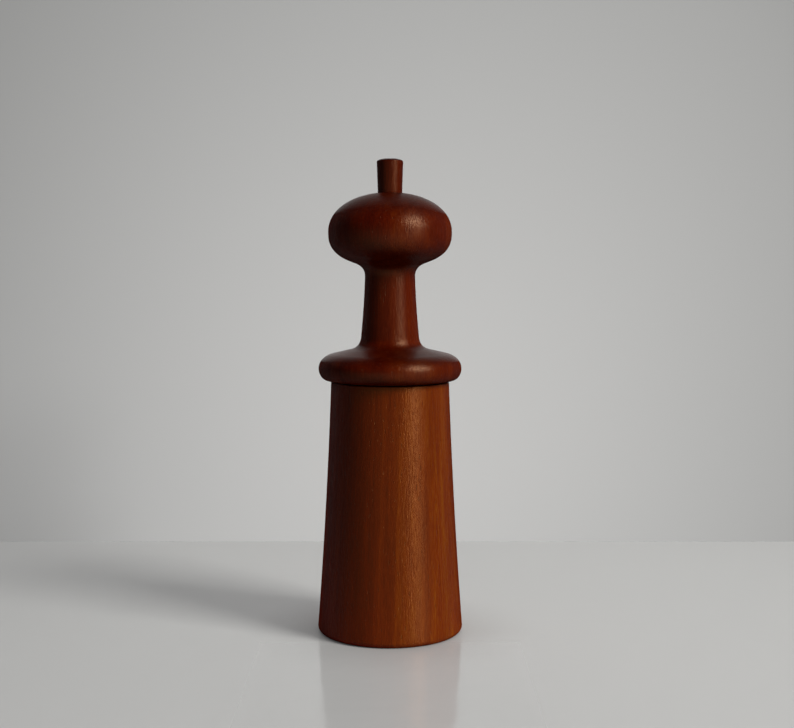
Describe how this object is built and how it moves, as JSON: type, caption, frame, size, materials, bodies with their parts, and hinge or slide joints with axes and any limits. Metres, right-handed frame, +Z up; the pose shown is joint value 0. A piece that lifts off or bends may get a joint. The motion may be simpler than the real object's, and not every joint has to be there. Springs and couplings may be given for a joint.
{
  "type": "pepper mill",
  "caption": "Turned wooden pepper mill with a tapering barrel, a disc and bulb head that turns to grind, a stoppered salt holder in the head and a grind adjusting screw underneath.",
  "frame": {"origin": "centre of the foot, on the table", "axes": "+Z up along the axis of turning; +X along the bar across the underside"},
  "size_m": [0.0682, 0.0682, 0.2216],
  "materials": {
    "teak": "oiled satin, upright grain",
    "teak_head": "oiled satin, upright grain, a little darker than the barrel",
    "teak_dark": "oiled satin, darker and redder",
    "burr_steel": "hardened, machined teeth",
    "plated_steel": "plated sheet steel",
    "screw_steel": "plated",
    "spring_steel": "drawn wire",
    "ball_steel": "polished",
    "shaft_steel": "drawn square bar",
    "brass": "turned and knurled"
  },
  "bodies": {
    "casing": {"barrel": "teak", "stator_ring": "burr_steel", "base_ring": "plated_steel", "base_ring_screws": "screw_steel", "lower_bridge": "plated_steel", "lower_bridge_screws": "screw_steel", "upper_bridge": "plated_steel", "burr_spring": "spring_steel"},
    "thrust": {"thrust_ball": "ball_steel"},
    "adjuster": {"adjusting_screw": "brass"},
    "grinder": {"drive_shaft": "shaft_steel", "rotor_burr": "burr_steel", "shaft_pin": "screw_steel", "spring_washer": "plated_steel"},
    "head": {"head": "teak_head", "drive_plate": "plated_steel", "drive_plate_screws": "screw_steel", "shaft_clip": "spring_steel", "salt_floor": "teak_dark"},
    "stopper": {"salt_stopper": "teak_dark"}
  },
  "joints": [
    {"name": "burr_lift", "type": "slide", "parent": "casing", "child": "thrust", "axis": [0, 0, 1], "range_m": [0, 0.001], "deforming": ["burr_spring"]},
    {"name": "adjust_turn", "type": "hinge", "parent": "thrust", "child": "adjuster", "pos_m": [0, 0, 0.0026], "axis": [0, 0, 1], "range_deg": [0, 360]},
    {"name": "head_turn", "type": "hinge", "parent": "thrust", "child": "grinder", "pos_m": [0, 0, 0.0143], "axis": [0, 0, 1], "continuous": true},
    {"name": "head_lift", "type": "slide", "parent": "grinder", "child": "head", "axis": [0, 0, 1], "range_m": [0, 0.035]},
    {"name": "stopper_pull", "type": "slide", "parent": "head", "child": "stopper", "axis": [0, 0, 1], "range_m": [0, 0.02]}
  ],
  "couplings": [
    {"joint": "adjust_turn", "follows": "burr_lift", "rad_per_m": 6283.2}
  ]
}
